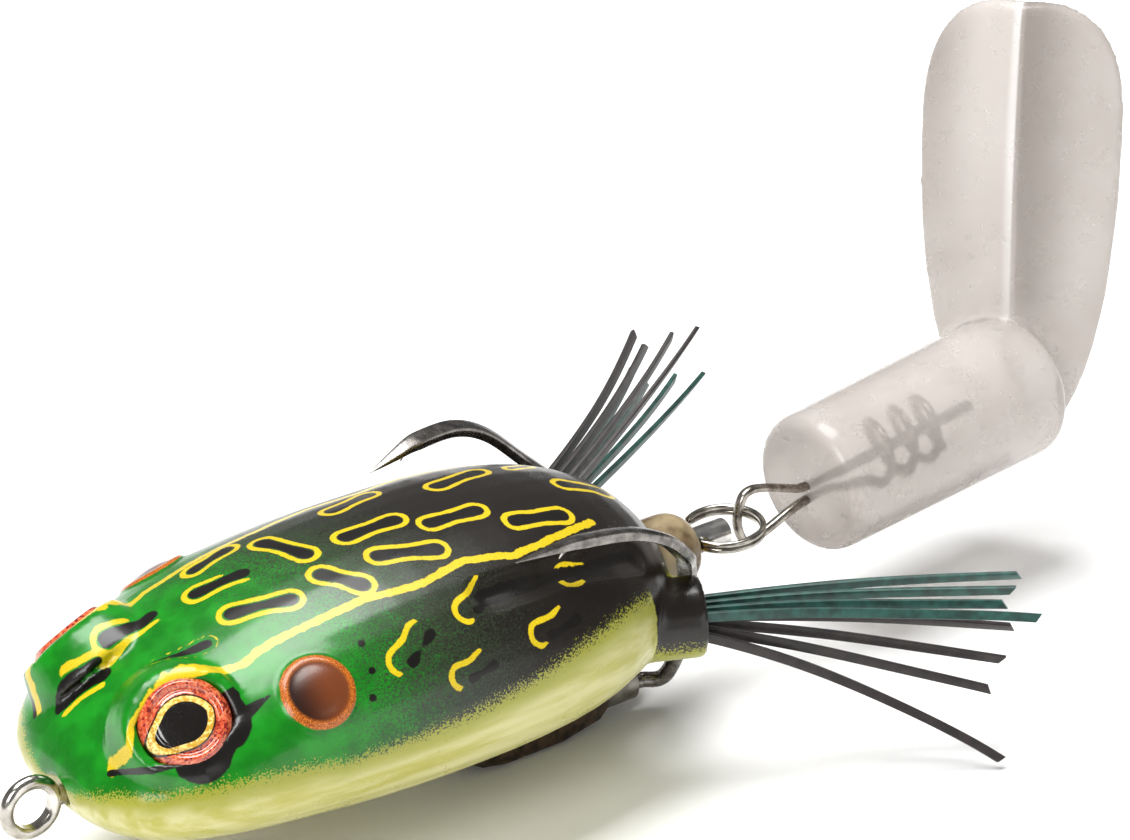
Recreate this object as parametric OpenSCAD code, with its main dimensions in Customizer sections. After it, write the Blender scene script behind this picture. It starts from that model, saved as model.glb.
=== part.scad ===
// Hollow soft-bodied topwater frog with a double hook and a swivelling paddle tail.
// Millimetres. The nose points to -X, the tail to +X, the lure's left side to -Y and its back
// to +Z. The origin is the centre of the line eye.

/* [Body] */
// Length of the hollow body without its tail boss
body_length = 57.5; // [46:0.5:70]
// Width of the body at its widest
body_width = 31; // [25:0.5:38]
// Height of the back above the body's middle
body_back = 10.8; // [9:0.1:12.5]
// Depth of the belly below the body's middle
body_belly = 10.6; // [9:0.1:12.5]
// How far the body's middle sits above the tail axis
body_lift = 1.6; // [0:0.1:2.4]
// Wall of the soft shell
body_wall = 1.7; // [1.2:0.1:2.4]
// Gap from the line eye's centre to the nose
nose_gap = 2.2; // [1.9:0.1:3.5]
// How far the snout sits below the body's middle
snout_drop = 2.6; // [0:0.1:3.5]

/* [Eyes] */
// Diameter of an eye
eye_d = 7.4; // [5.5:0.1:8.5]
// Height of the eye dome above its seat
eye_dome = 1.7; // [1:0.1:2.2]
// Distance between the two eye centres
eye_spacing = 18; // [15:0.2:20]
// Distance of the eyes behind the line eye
eye_x = 9.1; // [8:0.1:12]
// Height of the eyes above the line eye
eye_z = 8.8; // [7:0.1:10]

/* [Line eye and hook] */
// Bore of the line eye
tie_bore = 3.4; // [2.6:0.1:4.2]
// Thickness of the flattened wire round the line eye
tie_wire = 1.2; // [0.9:0.05:1.5]
// Diameter of the hook wire
hook_wire = 1.4; // [1.1:0.05:1.7]
// Length of a hook point's needle
hook_needle = 4.2; // [3:0.1:6]
// Width of the belly weight
weight_w = 4.6; // [3.6:0.1:6]
// How far the belly weight hangs below the belly
weight_drop = 4.4; // [3:0.1:5.2]

/* [Swivel and ring] */
// Height of the tail axis above the line eye
axis_z = 2.2; // [1:0.1:3.5]
// Diameter of the swivel post
post_d = 2.4; // [2:0.05:2.9]
// Cross hole through the swivel post
cross_hole = 1.6; // [1.45:0.05:1.7]
// Running gap between post and bushing, on the radius
post_gap = 0.04; // [0.02:0.01:0.08]
// Wall of the bushing
bushing_wall = 0.6; // [0.4:0.05:1]
// Length of the tail boss behind the body
boss_len = 6.6; // [5:0.1:8]
// Diameter of the tail boss
boss_d = 6.8; // [6:0.1:8]
// Outside diameter of the split ring
ring_od = 7.4; // [6.8:0.1:9]
// Wire of the split ring
ring_wire = 0.55; // [0.45:0.05:0.6]

/* [Tail] */
// Diameter of the tail stem
stem_d = 13; // [10:0.5:16]
// Length of the tail stem
stem_len = 26.4; // [20:0.2:30]
// Height of the paddle above the tail axis
paddle_rise = 35.8; // [30:0.2:42]
// Width of the paddle across its two leaves
paddle_w = 18.6; // [15:0.2:23]
// Thickness of the paddle
paddle_t = 2.2; // [1.6:0.1:3]
// How far the paddle's ridge stands in front of its edges
paddle_v = 3.6; // [2:0.2:5]
// Angle of the paddle to a plane square to the tail axis
paddle_cant = 31; // [15:1:45]
// Wire of the tail screw
screw_wire = 0.8; // [0.6:0.05:1]
// Outside diameter of the tail screw's coil
screw_od = 5; // [4:0.1:6]
// Turns of the tail screw's coil
screw_turns = 3; // [2:1:4]

/* [Skirts] */
// Diameter of a leg socket
socket_d = 7; // [5.8:0.1:8.4]
// Outward angle of the legs
leg_splay = 25; // [15:1:32]
// Length of the rubber strands outside the socket
strand_len = 28; // [20:1:32]
// Width of a rubber strand
strand_w = 0.9; // [0.7:0.05:1.1]
// Thickness of a rubber strand
strand_t = 0.7; // [0.5:0.05:0.9]
// Strands of each colour in one leg
strands = 4; // [3:1:5]

/* [Hidden] */

// Lengthways stations
body_rear = nose_gap + body_length;
boss_end = body_rear + boss_len;
ring_back = 0.9;
cross_x = boss_end + ring_back;

// The hollow body: where it is widest, and how square its ends and its section are
PEAK = 0.58;
NOSE_POWER = 2;
SNOUT_POWER = 3.2;
REAR_POWER = 2.7;
SNOUT_SHARE = 0.34;
RINGS = 27;
AROUND = 40;
function bulge(t, peak, near, far) =
    t < peak ? pow(1 - pow(1 - t / peak, near), 1 / near)
             : pow(1 - pow((t - peak) / (1 - peak), far), 1 / far);
function share(x) = (x - nose_gap) / body_length;
function tall(x) = bulge(share(x), PEAK, NOSE_POWER, REAR_POWER);
function wide(x) = bulge(share(x), PEAK, SNOUT_POWER, REAR_POWER);
function snout(x) = snout_drop * pow(max(0, 1 - share(x) / SNOUT_SHARE), 1.6);
function body_ring(x, wall) =
    let (half = body_width / 2 * wide(x) - wall,
         back = body_back * tall(x) - wall,
         belly = body_belly * tall(x) - wall,
         middle = axis_z + body_lift - snout(x))
    [for (k = [0 : AROUND - 1]) let (a = 360 * k / AROUND)
        [x, half * cos(a), middle + (sin(a) > 0 ? back : belly) * sin(a)]];
// Stations crowd together towards both ends, where the body rounds off
function stations(from, to, n) =
    [for (k = [0 : n]) from + (to - from) * (1 - cos(4 + 172 * k / n)) / 2];

// Closed skin over a list of rings of points
module skin(rings) {
    n = len(rings[0]);
    m = len(rings);
    polyhedron(
        points = [for (r = rings) each r],
        faces = concat(
            [[for (k = [0 : n - 1]) k]],
            [for (j = [0 : m - 2]) for (k = [0 : n - 1]) let (q = (k + 1) % n)
                [j * n + k, (j + 1) * n + k, (j + 1) * n + q, j * n + q]],
            [[for (k = [n - 1 : -1 : 0]) (m - 1) * n + k]]
        ),
        convexity = 6
    );
}

// A round wire along a list of points, with one radius for each point
function unit(v) = v / norm(v);
function heading(p, i) = unit(p[min(i + 1, len(p) - 1)] - p[max(i - 1, 0)]);
function squared(u, t) = unit(u - (u * t) * t);
function frames(p, u, i = 0) =
    i == len(p) ? []
    : let (t = heading(p, i), n = squared(u, t)) concat([[n, cross(t, n)]], frames(p, n, i + 1));
module wire(p, radii, sides = 12, up = [0, 0.1, 1]) {
    f = frames(p, up);
    skin([for (i = [0 : len(p) - 1]) [for (k = [0 : sides - 1]) let (a = 360 * k / sides)
        p[i] + radii[i] * (cos(a) * f[i][0] + sin(a) * f[i][1])]]);
}
// A smooth curve through hand-chosen points, with n steps between two of them
function between(a, b, c, d, t) =
    0.5 * (2 * b + (c - a) * t + (2 * a - 5 * b + 4 * c - d) * t * t
        + (3 * b - a - 3 * c + d) * t * t * t);
function smooth(p, n) = concat(
    [for (i = [0 : len(p) - 2]) for (k = [0 : n - 1])
        between(p[max(i - 1, 0)], p[i], p[i + 1], p[min(i + 2, len(p) - 1)], k / n)],
    [p[len(p) - 1]]);

// Turns a child's +Z to a direction, at a place
module aim(place, dir) {
    translate(place) rotate([0, acos(dir[2] / norm(dir)), atan2(dir[1], dir[0])]) children();
}
// The left half of a pair is drawn, and the right half is its mirror image
module right_side() { mirror([0, 1, 0]) children(); }

// ---- hollow body ----
EYE_DIR = unit([-0.3, -0.66, 0.69]);
EYE_SEAT = 1.2;
EYE_RIM = 1.1;
eye_place = [eye_x, -eye_spacing / 2, eye_z];
EAR_D = 6.2;
EAR_PLACE = [19.2, -12.6, 8.9];
EAR_DIR = unit([-0.12, -0.66, 0.74]);
STRAND_PITCH = 0.2;
ROW_GAP = 0.4;
// Radius of one leg's bundle of strands, and the well, collar and socket bore round it
bundle_r = norm([(strands * strand_t + (strands - 1) * STRAND_PITCH) / 2, strand_w + ROW_GAP / 2]);
well_d = 2 * bundle_r + 0.4;
collar_d = well_d + 0.5;
socket_root = [body_rear - 6.4, -8.9, axis_z + 0.4];
socket_dir = [cos(leg_splay), -sin(leg_splay), 0];
SOCKET_LEN = 5.8;
socket_mouth = socket_root + SOCKET_LEN * socket_dir;
slot_w = weight_w + 0.8;
slot_from = body_rear - 22.5;
SLOT_TALL = 4.2;
// The slot widens at the rear, where the two bends spread from the sleeve
REAR_SLOT_W = 9.2;
REAR_SLOT_TALL = 6.4;
REAR_SLOT_GAP = 0.6;
// Room round the shank, and the dimple round the line eye as a multiple of its wire
SHANK_ROOM = 0.3;
DIMPLE = 3.2;
weight_bottom = axis_z + body_lift - body_belly - weight_drop;
boss_dome = 2.2;

module eye_bulge() {
    aim(eye_place, EYE_DIR) translate([0, 0, -4]) cylinder(h = 3.5, d1 = eye_d + 5,
        d2 = eye_d + 2 * EYE_RIM, $fn = 40);
}
module ear_bulge() {
    aim(EAR_PLACE, EAR_DIR) translate([0, 0, -1.6]) cylinder(h = 2.2, d1 = EAR_D + 2,
        d2 = EAR_D - 1.6, $fn = 36);
}
module socket_tube() {
    aim(socket_root, socket_dir) cylinder(h = SOCKET_LEN, d = socket_d, $fn = 40);
}
module socket_bore() {
    aim(socket_root, socket_dir) translate([0, 0, -4])
        cylinder(h = SOCKET_LEN + 5, d = collar_d + 0.1, $fn = 40);
}
module boss() {
    translate([0, 0, axis_z]) rotate([0, 90, 0]) rotate_extrude($fn = 48)
        polygon(concat([[0, body_rear - 6], [boss_d / 2, body_rear - 6]],
            [for (a = [0 : 15 : 75]) [boss_d / 2 * (0.45 + 0.55 * cos(a)),
                boss_end - boss_dome + boss_dome * sin(a)]],
            [[0, boss_end]]));
}
module body_shell() {
    color("darkgreen") resize([0, 0, 0]) difference() {
        union() {
            skin([for (x = stations(nose_gap, body_rear, RINGS)) body_ring(x, 0)]);
            eye_bulge();
            right_side() eye_bulge();
            ear_bulge();
            right_side() ear_bulge();
            socket_tube();
            right_side() socket_tube();
            boss();
        }
        skin([for (x = stations(nose_gap + 2 * body_wall, body_rear - 1.4 * body_wall, RINGS - 8))
            body_ring(x, body_wall)]);
        // Dimple in the nose for the line eye, and the way of the shank down through the belly
        translate([tie_bore / 2, 0, 0]) rotate([0, 90, 0])
            cylinder(h = tie_wire + 0.1, d = DIMPLE * tie_wire, $fn = 32);
        for (i = [1 : 2]) aim(SHANK[i - 1], SHANK[i] - SHANK[i - 1])
            cylinder(h = norm(SHANK[i] - SHANK[i - 1]), d = hook_wire + SHANK_ROOM, $fn = 24);
        translate(SHANK[1]) sphere(d = hook_wire + SHANK_ROOM, $fn = 16);
        // Slot along the belly for the shank, its weight and the two bends
        translate([slot_from, -slot_w / 2, weight_bottom - 1])
            cube([body_length, slot_w, weight_drop + SLOT_TALL]);
        translate([sleeve_from - CARRIER_T - REAR_SLOT_GAP, -REAR_SLOT_W / 2, weight_bottom - 1])
            cube([boss_len + 12, REAR_SLOT_W, weight_drop + REAR_SLOT_TALL]);
        // Bore of the tail boss
        translate([body_rear - 8, 0, axis_z]) rotate([0, 90, 0])
            cylinder(h = boss_len + 12, d = bushing_od + 0.1, $fn = 36);
        socket_bore();
        right_side() socket_bore();
        eye_seat();
        right_side() eye_seat();
    }
}
module eye_seat() {
    aim(eye_place, EYE_DIR) translate([0, 0, -EYE_SEAT - 0.5])
        cylinder(h = 9, d = eye_d + 0.1, $fn = 40);
}

// ---- eyes ----
// A flat button with a domed face, seated in its pocket
module eye() {
    dome_r = (pow(eye_d / 2, 2) + pow(eye_dome, 2)) / (2 * eye_dome);
    color("orange") aim(eye_place, EYE_DIR) translate([0, 0, -0.5]) {
        translate([0, 0, -EYE_SEAT + 0.05]) cylinder(h = EYE_SEAT - 0.05, d = eye_d, $fn = 48);
        intersection() {
            cylinder(h = eye_dome, d = eye_d, $fn = 48);
            translate([0, 0, eye_dome - dome_r]) sphere(r = dome_r, $fn = 64);
        }
    }
}
module eye_left() { eye(); }
module eye_right() { right_side() eye(); }

// ---- double hook ----
TIE_FLAT = 0.12;
shank_z = weight_bottom + 2.2;
shank_end = body_rear - 2.2;
sleeve_from = shank_end - 1.4;
SLEEVE_LEN = 3.6;
SLEEVE_D = 2 * hook_wire + 0.8;
HOOK_APART = hook_wire / 2 + 0.15;
sleeve_end = sleeve_from + SLEEVE_LEN;
// The shank runs straight back from the line eye, slopes down and lies along the belly
SHANK = [
    [tie_bore / 2 + tie_wire / 2, 0, 0],
    [12, 0, 0],
    [slot_from + 2.6, 0, shank_z],
    [shank_end, 0, shank_z]
];
module hook_shank() {
    color("silver") {
        // The eye's wire has a narrow flat land all round its bore
        rotate([90, 0, 0]) rotate_extrude($fn = 64) intersection() {
            translate([tie_bore / 2 + tie_wire / 2 - TIE_FLAT, 0]) circle(d = tie_wire, $fn = 24);
            translate([tie_bore / 2, -tie_wire]) square(2 * tie_wire);
        }
        for (i = [1 : 3])
            aim(SHANK[i - 1], SHANK[i] - SHANK[i - 1])
                cylinder(h = norm(SHANK[i] - SHANK[i - 1]), d = hook_wire, $fn = 24);
        for (i = [1 : 2]) translate(SHANK[i]) sphere(d = hook_wire + 0.1, $fn = 24);
    }
}
// Each bend leaves the sleeve, climbs behind the body between the boss and a leg socket, and
// turns forward over the back
BEND = [
    [sleeve_end + 2.6, -2.3, shank_z + 0.7],
    [body_rear + 2.6, -5, axis_z - 4.6],
    [body_rear + 1.4, -6.5, axis_z + 0.2],
    [body_rear - 0.4, -8.5, axis_z + 4],
    [body_rear - 3, -11.3, axis_z + 6.8],
    [body_rear - 6, -12.4, axis_z + 9.6],
    [body_rear - 9.5, -12.3, axis_z + 11.2],
    [body_rear - 14, -11.5, axis_z + 11.6]
];
point_tip = [body_rear - 19.6, -10.2, axis_z + 10.9];
needle_from = point_tip + hook_needle * unit(BEND[7] - point_tip);
bend_path = concat(
    [[sleeve_from + 1.6, -HOOK_APART, shank_z], [sleeve_end + 0.3, -HOOK_APART, shank_z]],
    smooth(concat([[sleeve_end + 1, -HOOK_APART - 0.1, shank_z]], BEND, [needle_from]), 4),
    [point_tip]);
module hook() {
    last = len(bend_path) - 1;
    color("dimgray") {
        wire(bend_path, [for (i = [0 : last]) i == last ? 0.08 : hook_wire / 2], up = [0, -1, 0.1]);
        // Barb, cut up from the inside of the needle
        wire([needle_from + [1.2, 0.1, 0.1], needle_from + [0.4, 0, -0.75],
            needle_from + [1, 0, -1.15]], [0.4, 0.3, 0.05], 8);
    }
}
module hook_left() { hook(); }
module hook_right() { right_side() hook(); }
module shank_sleeve() {
    color("dimgray") translate([sleeve_from, 0, shank_z]) rotate([0, 90, 0]) difference() {
        cylinder(h = SLEEVE_LEN, d = SLEEVE_D, $fn = 36);
        translate([0, 0, -1]) cylinder(h = 2.5, d = hook_wire + 0.04, $fn = 24);
        for (s = [-1, 1]) translate([0, s * HOOK_APART, 1.55])
            cylinder(h = SLEEVE_LEN, d = hook_wire + 0.04, $fn = 24);
    }
}
// A keel cast on the shank, blunt in front and tapered behind
module belly_weight() {
    top = shank_z + 1.6;
    rear = sleeve_from - 0.1;
    color("saddlebrown") difference() {
        rotate([90, 0, 0]) linear_extrude(weight_w, center = true) polygon([
            [slot_from + 3.8, shank_z - 0.9],
            [slot_from + 5.2, weight_bottom + 0.5],
            [slot_from + 7.5, weight_bottom],
            [rear - 5, weight_bottom],
            [rear - 1, weight_bottom + 0.8],
            [rear, weight_bottom + 1.8],
            [rear, top],
            [slot_from + 6, top],
            [slot_from + 4.2, top - 0.8]
        ]);
        translate([slot_from, 0, shank_z]) rotate([0, 90, 0])
            cylinder(h = body_length, d = hook_wire + 0.04, $fn = 24);
    }
}

// ---- swivel ----
bushing_id = post_d + 2 * post_gap;
bushing_od = bushing_id + 2 * bushing_wall;
bushing_to = boss_end + 0.1;
CARRIER_T = 1.6;
CARRIER_W = 2.2;
HEAD_LEN = 1.2;
HEAD_GAP = 0.2;
POST_OUT = 3.2;
module along_x(x) { translate([x, 0, axis_z]) rotate([0, 90, 0]) children(); }
// A strap that stands on the keel and holds the bushing
module swivel_carrier() {
    foot = shank_z + 1.65;
    at = sleeve_from - 0.1 - CARRIER_T;
    color("silver") difference() {
        union() {
            along_x(at) cylinder(h = CARRIER_T, d = bushing_od + 1.8, $fn = 48);
            translate([at, -CARRIER_W / 2, foot]) cube([CARRIER_T, CARRIER_W, axis_z - foot]);
        }
        along_x(at - 1) cylinder(h = CARRIER_T + 2, d = bushing_od + 0.02, $fn = 48);
    }
}
module tail_bushing() {
    color("gold") along_x(sleeve_from - 2.2) difference() {
        cylinder(h = bushing_to - sleeve_from + 2.2, d = bushing_od, $fn = 48);
        translate([0, 0, -1]) cylinder(h = body_length, d = bushing_id, $fn = 48);
    }
}
post_from = sleeve_from - 2.2 - HEAD_GAP - HEAD_LEN;
module swivel_post() {
    color("silver") difference() {
        along_x(post_from) cylinder(h = cross_x + POST_OUT - post_from, d = post_d, $fn = 48);
        translate([cross_x, 0, axis_z]) rotate([90, 0, 0])
            cylinder(h = post_d + 2, d = cross_hole, center = true, $fn = 36);
    }
}
module swivel_head() {
    color("silver") along_x(post_from) difference() {
        cylinder(h = HEAD_LEN, d = bushing_od, $fn = 48);
        translate([0, 0, -1]) cylinder(h = HEAD_LEN + 2, d = post_d + 0.02, $fn = 48);
    }
}

// ---- split ring and tail, as they hang at rest ----
// The ring is lifted a little at the post, and the tail is swung a little round the ring
REST_LIFT = 3.5;
REST_YAW = 4.5;
ring_mean = (ring_od - ring_wire) / 2;
module ring_frame() {
    translate([cross_x, 0, axis_z]) rotate([0, -REST_LIFT, 0])
        translate([ring_mean - 0.1, 0, 0]) children();
}
module tail_frame() { ring_frame() rotate([0, 0, REST_YAW]) children(); }
// Two flat turns, one on the other
module split_ring() {
    color("silver") ring_frame() rotate_extrude($fn = 72) for (s = [-1, 1])
        translate([ring_mean, s * 0.48 * ring_wire]) circle(d = ring_wire, $fn = 20);
}
LOOP_R = 2.5;
LOOP_GAP = 1.2;
LOOP_LEN = 8.9;
loop_front = ring_mean - ring_wire / 2 - LOOP_GAP - screw_wire;
stem_front = loop_front + LOOP_LEN;
coil_r = (screw_od - screw_wire) / 2;
COIL_PITCH = 3;
COIL_FROM = 7;
CORE_LEN = 20;
// One wire: the core, the loop round the split ring, and the coil that screws into the stem
screw_path = concat(
    [for (k = [0 : 4]) [stem_front + CORE_LEN - (CORE_LEN - 1) * k / 4, 0, 0]],
    smooth([
        [stem_front - 1, 0, 0.3],
        [loop_front + LOOP_R + 1.2, 0, LOOP_R - 0.4],
        [loop_front + LOOP_R - 0.6, 0, LOOP_R],
        [loop_front + 0.95, 0, 1.9],
        [loop_front + screw_wire / 2, 0, 0],
        [loop_front + 0.95, 0, -1.9],
        [loop_front + LOOP_R - 0.6, 0, -LOOP_R],
        [loop_front + LOOP_R + 1.2, 0, -LOOP_R + 0.2],
        [stem_front - 0.6, 0, -1.3],
        [stem_front + COIL_FROM - 2.4, 0, -1.3],
        [stem_front + COIL_FROM, 0, -coil_r]
    ], 3),
    [for (a = [20 : 20 : 360 * screw_turns])
        [stem_front + COIL_FROM + COIL_PITCH * a / 360, -coil_r * sin(a), -coil_r * cos(a)]]);
module screw_wire_body(grow) {
    wire(screw_path, [for (p = screw_path) screw_wire / 2 + grow], 10, [0, 1, 0]);
}
module tail_screw() { color("silver") tail_frame() screw_wire_body(0); }

PADDLE_BELOW = 7.2;
PADDLE_LEAN = 5.4;
PADDLE_PEAK = 0.72;
PADDLE_STEPS = 25;
LEAF_STEPS = 6;
STEM_ROUND = 1.5;
STEM_FLARE = 0.4;
paddle_x = stem_front + stem_len;
paddle_h = paddle_rise + PADDLE_BELOW;
// Outline of the paddle from its foot, s = 0, to its top, s = 1
function paddle_half(s) = paddle_w / 2 * bulge(s, PADDLE_PEAK, 2.2, 2.5);
function ridge_x(s) = PADDLE_LEAN * pow(max(0, s - 0.25) / 0.75, 2);
function leaf(s, u, back) =
    let (half = paddle_half(s), edge = paddle_v * half / (paddle_w / 2))
    [ridge_x(s) + edge * pow(abs(u), 1.25) + back * paddle_t * (1 - 0.45 * u * u),
     half * u, -PADDLE_BELOW + paddle_h * s];
module paddle() {
    steps = [for (k = [0 : PADDLE_STEPS]) (1 - cos(6 + 168 * k / PADDLE_STEPS)) / 2];
    skin([for (s = steps) concat(
        [for (k = [-LEAF_STEPS : LEAF_STEPS]) leaf(s, k / LEAF_STEPS, 1)],
        [for (k = [LEAF_STEPS : -1 : -LEAF_STEPS]) leaf(s, k / LEAF_STEPS, 0)])]);
}
// One soft moulding: a thick stem that carries the paddle across its end
module tail_paddle() {
    r = stem_d / 2;
    color("whitesmoke") tail_frame() resize([0, 0, 0]) difference() {
        union() {
            rotate([0, 90, 0]) rotate_extrude($fn = 56) polygon(concat(
                [[0, stem_front]],
                [for (a = [0 : 15 : 90]) [r - STEM_ROUND + STEM_ROUND * sin(a),
                    stem_front + STEM_ROUND * (1 - cos(a))]],
                [[r + STEM_FLARE, paddle_x + 0.4], [r - 1.5, paddle_x + 2.2], [0, paddle_x + 2.2]]));
            translate([paddle_x, 0, 0]) rotate([0, 0, paddle_cant]) paddle();
        }
        translate([stem_front - 1, 0, 0]) rotate([0, 90, 0])
            cylinder(h = COIL_FROM + COIL_PITCH * screw_turns + 1.8, d = screw_od + 0.4, $fn = 32);
        translate([stem_front, 0, 0]) rotate([0, 90, 0])
            cylinder(h = CORE_LEN + 0.5, d = screw_wire + 0.4, $fn = 16);
    }
}

// ---- legs ----
COLLAR_LEN = 3;
COLLAR_WELL = 1;
module skirt_collar() {
    color("black") aim(socket_mouth - (COLLAR_LEN + 0.8) * socket_dir, socket_dir) difference() {
        cylinder(h = COLLAR_LEN, d = collar_d, $fn = 36);
        translate([0, 0, COLLAR_LEN - COLLAR_WELL]) cylinder(h = 2, d = well_d, $fn = 36);
    }
}
module skirt_collar_left() { skirt_collar(); }
module skirt_collar_right() { right_side() skirt_collar(); }

// A flat strand that bends evenly sideways as it leaves the collar
module strand(len, bend) {
    r = len / (bend * PI / 180);
    rotate([0, 0, -90]) translate([-r, 0, 0]) rotate_extrude(angle = bend, $fn = 180)
        translate([r, 0]) square([strand_t, strand_w], center = true);
}
// One colour's strands, in one row across the collar; lift is the rise of the row, in degrees,
// and fan the spread from the inner strand to the outer one
module strand_row(row, lift, fan, droop) {
    start = socket_mouth - (0.8 + COLLAR_WELL) * socket_dir;
    apart = strand_t + STRAND_PITCH;
    reach = strand_len + 0.8 + COLLAR_WELL;
    translate(start) rotate([0, 0, -leg_splay]) for (i = [0 : strands - 1]) {
        side = i - (strands - 1) / 2;
        translate([0.1, -side * apart, row * (strand_w + ROW_GAP) / 2])
            rotate([0, -lift + droop * i, -side * fan]) rotate([180, 0, 0])
            strand(reach * (1 - 0.04 * (i % 3)), 9 + 2 * i);
    }
}
module skirt_left_green() { color("darkslategray") strand_row(1, 0.5, 1.6, 0.5); }
module skirt_left_black() { color("black") strand_row(-1, -7, 2, 4); }
module skirt_right_green() { color("darkslategray") right_side() strand_row(-1, 7, 2, 1); }
module skirt_right_black() { color("black") right_side() strand_row(1, 14, 1.6, 1.6); }

body_shell();
eye_left();
eye_right();
hook_shank();
hook_left();
hook_right();
shank_sleeve();
belly_weight();
swivel_carrier();
tail_bushing();
swivel_post();
swivel_head();
split_ring();
tail_screw();
tail_paddle();
skirt_collar_left();
skirt_collar_right();
skirt_left_green();
skirt_left_black();
skirt_right_green();
skirt_right_black();
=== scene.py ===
# %% [markdown]
# # A hollow frog lure, finished
# The lure is a soft hollow frog with a double hook on its back, two rubber legs and a clear
# tail that turns on a swivel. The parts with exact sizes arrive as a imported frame. This
# notebook gives them their moulded, painted, plated and forged looks, one piece at a time.

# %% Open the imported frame
import math
import bpy
import numpy as np
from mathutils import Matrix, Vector


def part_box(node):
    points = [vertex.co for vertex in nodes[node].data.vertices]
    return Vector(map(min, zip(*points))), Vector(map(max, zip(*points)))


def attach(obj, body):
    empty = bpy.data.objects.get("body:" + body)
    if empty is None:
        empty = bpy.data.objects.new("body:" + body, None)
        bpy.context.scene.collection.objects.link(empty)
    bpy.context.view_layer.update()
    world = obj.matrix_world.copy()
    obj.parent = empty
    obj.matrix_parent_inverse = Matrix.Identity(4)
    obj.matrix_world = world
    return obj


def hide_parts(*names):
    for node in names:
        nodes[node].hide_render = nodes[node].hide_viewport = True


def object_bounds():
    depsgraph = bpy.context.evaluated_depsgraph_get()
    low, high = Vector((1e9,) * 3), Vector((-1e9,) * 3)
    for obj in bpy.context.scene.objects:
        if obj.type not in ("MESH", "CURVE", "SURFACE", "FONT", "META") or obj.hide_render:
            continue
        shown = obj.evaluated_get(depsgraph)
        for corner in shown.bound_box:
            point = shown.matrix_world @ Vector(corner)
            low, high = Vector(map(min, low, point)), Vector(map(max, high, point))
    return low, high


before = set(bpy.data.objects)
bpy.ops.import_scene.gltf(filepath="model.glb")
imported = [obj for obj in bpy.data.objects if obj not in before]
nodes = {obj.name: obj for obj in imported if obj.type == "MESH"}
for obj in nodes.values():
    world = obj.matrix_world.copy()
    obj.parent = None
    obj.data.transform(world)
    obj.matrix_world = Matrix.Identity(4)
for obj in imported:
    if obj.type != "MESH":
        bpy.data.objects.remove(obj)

frame_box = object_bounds()
MM = 0.001


def span(node):
    """A node's lowest and highest corner, in millimetres."""
    low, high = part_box(node)
    return np.array(low) / MM, np.array(high) / MM


# %% [markdown]
# ## Camera
# A product view of a lure is taken from far away with a long lens, so that the nose doesn't
# look too big. The camera looks down on the left side from in front. Distance and lens are
# chosen together: here a third of a metre and about 130 mm.

# %% Place the camera
TURN, RAISE = math.radians(37), math.radians(28.05)
side = Vector((math.cos(TURN), -math.sin(TURN), 0))
rise = Vector((math.sin(TURN) * math.sin(RAISE), math.cos(TURN) * math.sin(RAISE), math.cos(RAISE)))
away = Vector((-math.sin(TURN) * math.cos(RAISE), -math.cos(TURN) * math.cos(RAISE), math.sin(RAISE)))
middle = Vector((50, 0, 5)) * MM
camera = bpy.data.objects.new("camera", bpy.data.cameras.new("camera"))
bpy.context.collection.objects.link(camera)
bpy.context.scene.camera = camera
camera.data.sensor_width = 36
camera.data.lens = 131.57
camera.location = middle + away * 350 * MM
target = middle + side * 2.37 * MM + rise * 12.63 * MM
camera.rotation_mode = "QUATERNION"
camera.rotation_quaternion = (target - camera.location).to_track_quat("-Z", "Y")
print("camera at", [round(c / MM) for c in camera.location], "mm, lens", camera.data.lens)

# %% [markdown]
# ## Light and floor
# Glossy paint shows what is around it, so a painted lure is lit with large soft boxes. One
# hangs over the back, one stands at the left, and a weak one fills the belly. The floor is
# plain pale card that the keel just clears.

# %% Hang the soft boxes
def soft_box(name, place, aim, width, height, watts):
    lamp = bpy.data.lights.new(name, "AREA")
    lamp.shape, lamp.size, lamp.size_y, lamp.energy = "RECTANGLE", width, height, watts
    holder = bpy.data.objects.new(name, lamp)
    bpy.context.collection.objects.link(holder)
    holder.location = Vector(place)
    holder.rotation_euler = (Vector(aim) - Vector(place)).to_track_quat("-Z", "Y").to_euler()
    return holder


soft_box("overhead box", (0.03, 0.10, 0.50), (0.045, 0, 0), 0.46, 0.26, 4.3)
soft_box("left box", (-0.38, -0.20, 0.30), (0.04, 0, 0.01), 0.20, 0.26, 1.5)
soft_box("front fill", (0.15, -0.55, 0.10), (0.05, 0, 0), 0.40, 0.30, 0.6)
world = bpy.data.worlds.new("pale room")
bpy.context.scene.world = world
world.use_nodes = True
world.node_tree.nodes["Background"].inputs["Color"].default_value = (1, 1, 1, 1)
world.node_tree.nodes["Background"].inputs["Strength"].default_value = 0.2
bpy.context.scene.view_settings.view_transform = "Standard"
print("three soft boxes hung")

# %% [markdown]
# ## A small kit for finishes
# Every finish on this lure is a Principled shader with a few noises and thresholds in front
# of it. Writing the nodes by hand each time is long, so this class adds a node, wires it and
# hands back its output. Colours are given as a paint maker gives them, in screen hex.

# %% Helpers for finishes
def hue(code):
    """Screen hex to the linear colour that a shader wants."""
    parts = [int(code[i:i + 2], 16) / 255 for i in (0, 2, 4)]
    return [p / 12.92 if p < 0.04045 else ((p + 0.055) / 1.055) ** 2.4 for p in parts] + [1]


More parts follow.
